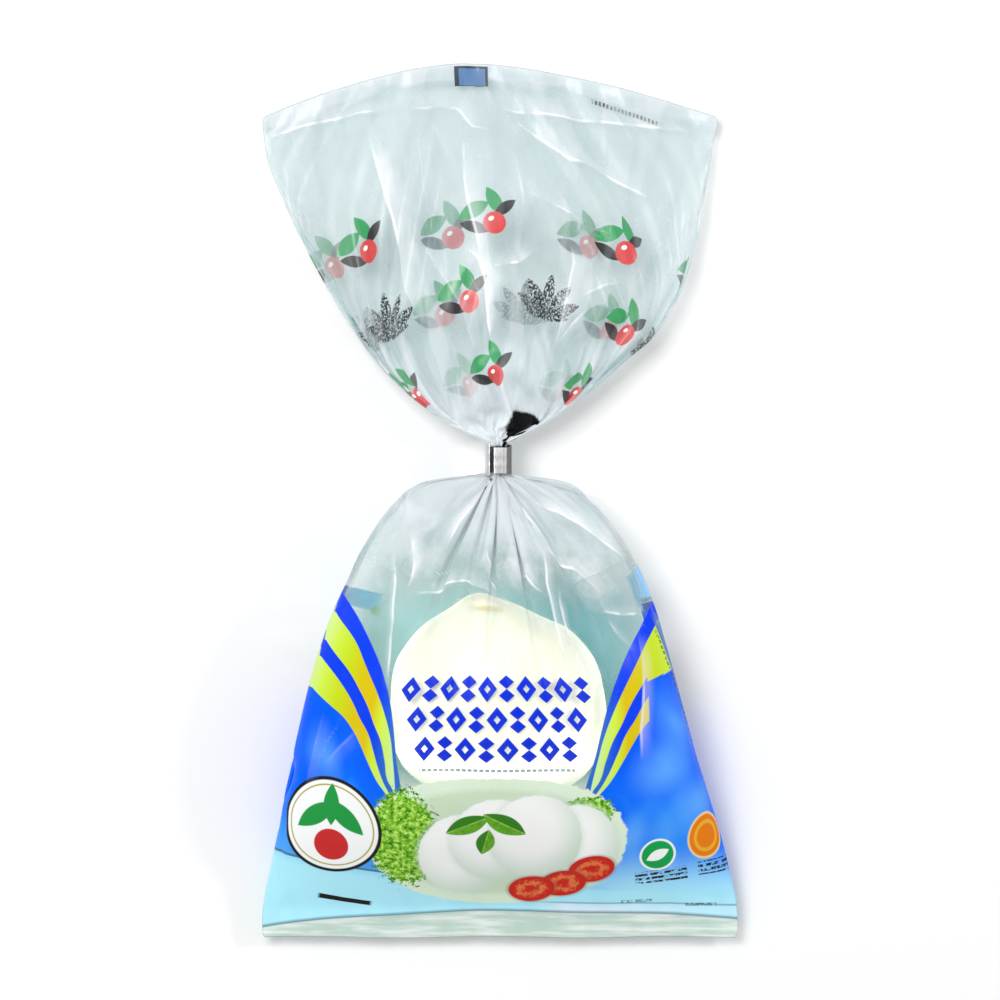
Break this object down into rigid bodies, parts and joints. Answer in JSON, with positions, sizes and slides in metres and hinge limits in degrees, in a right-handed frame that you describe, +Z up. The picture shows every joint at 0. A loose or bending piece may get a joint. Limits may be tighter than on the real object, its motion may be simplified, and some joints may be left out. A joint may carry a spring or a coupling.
{
  "type": "bagged mozzarella ball",
  "caption": "Mozzarella ball in brine in a clear printed film bag, gathered in a metal clip with a flared film fan above it.",
  "frame": {"origin": "on the ground under the middle of the bag's box, at the height of the flat underside the bag lies on", "axes": "+X across the bag to its right as its printed front is seen, +Y from the filled end towards the fan of film above the clip, +Z up out of the printed front"},
  "size_m": [0.1514, 0.2766, 0.053],
  "materials": {
    "film": "clear film, printed blue and yellow over the filled part",
    "clip": "satin",
    "cheese": "moist, smooth, ivory",
    "brine": "cloudy liquid"
  },
  "bodies": {
    "root": {"bag": "film", "clip": "clip"}
  },
  "joints": []
}
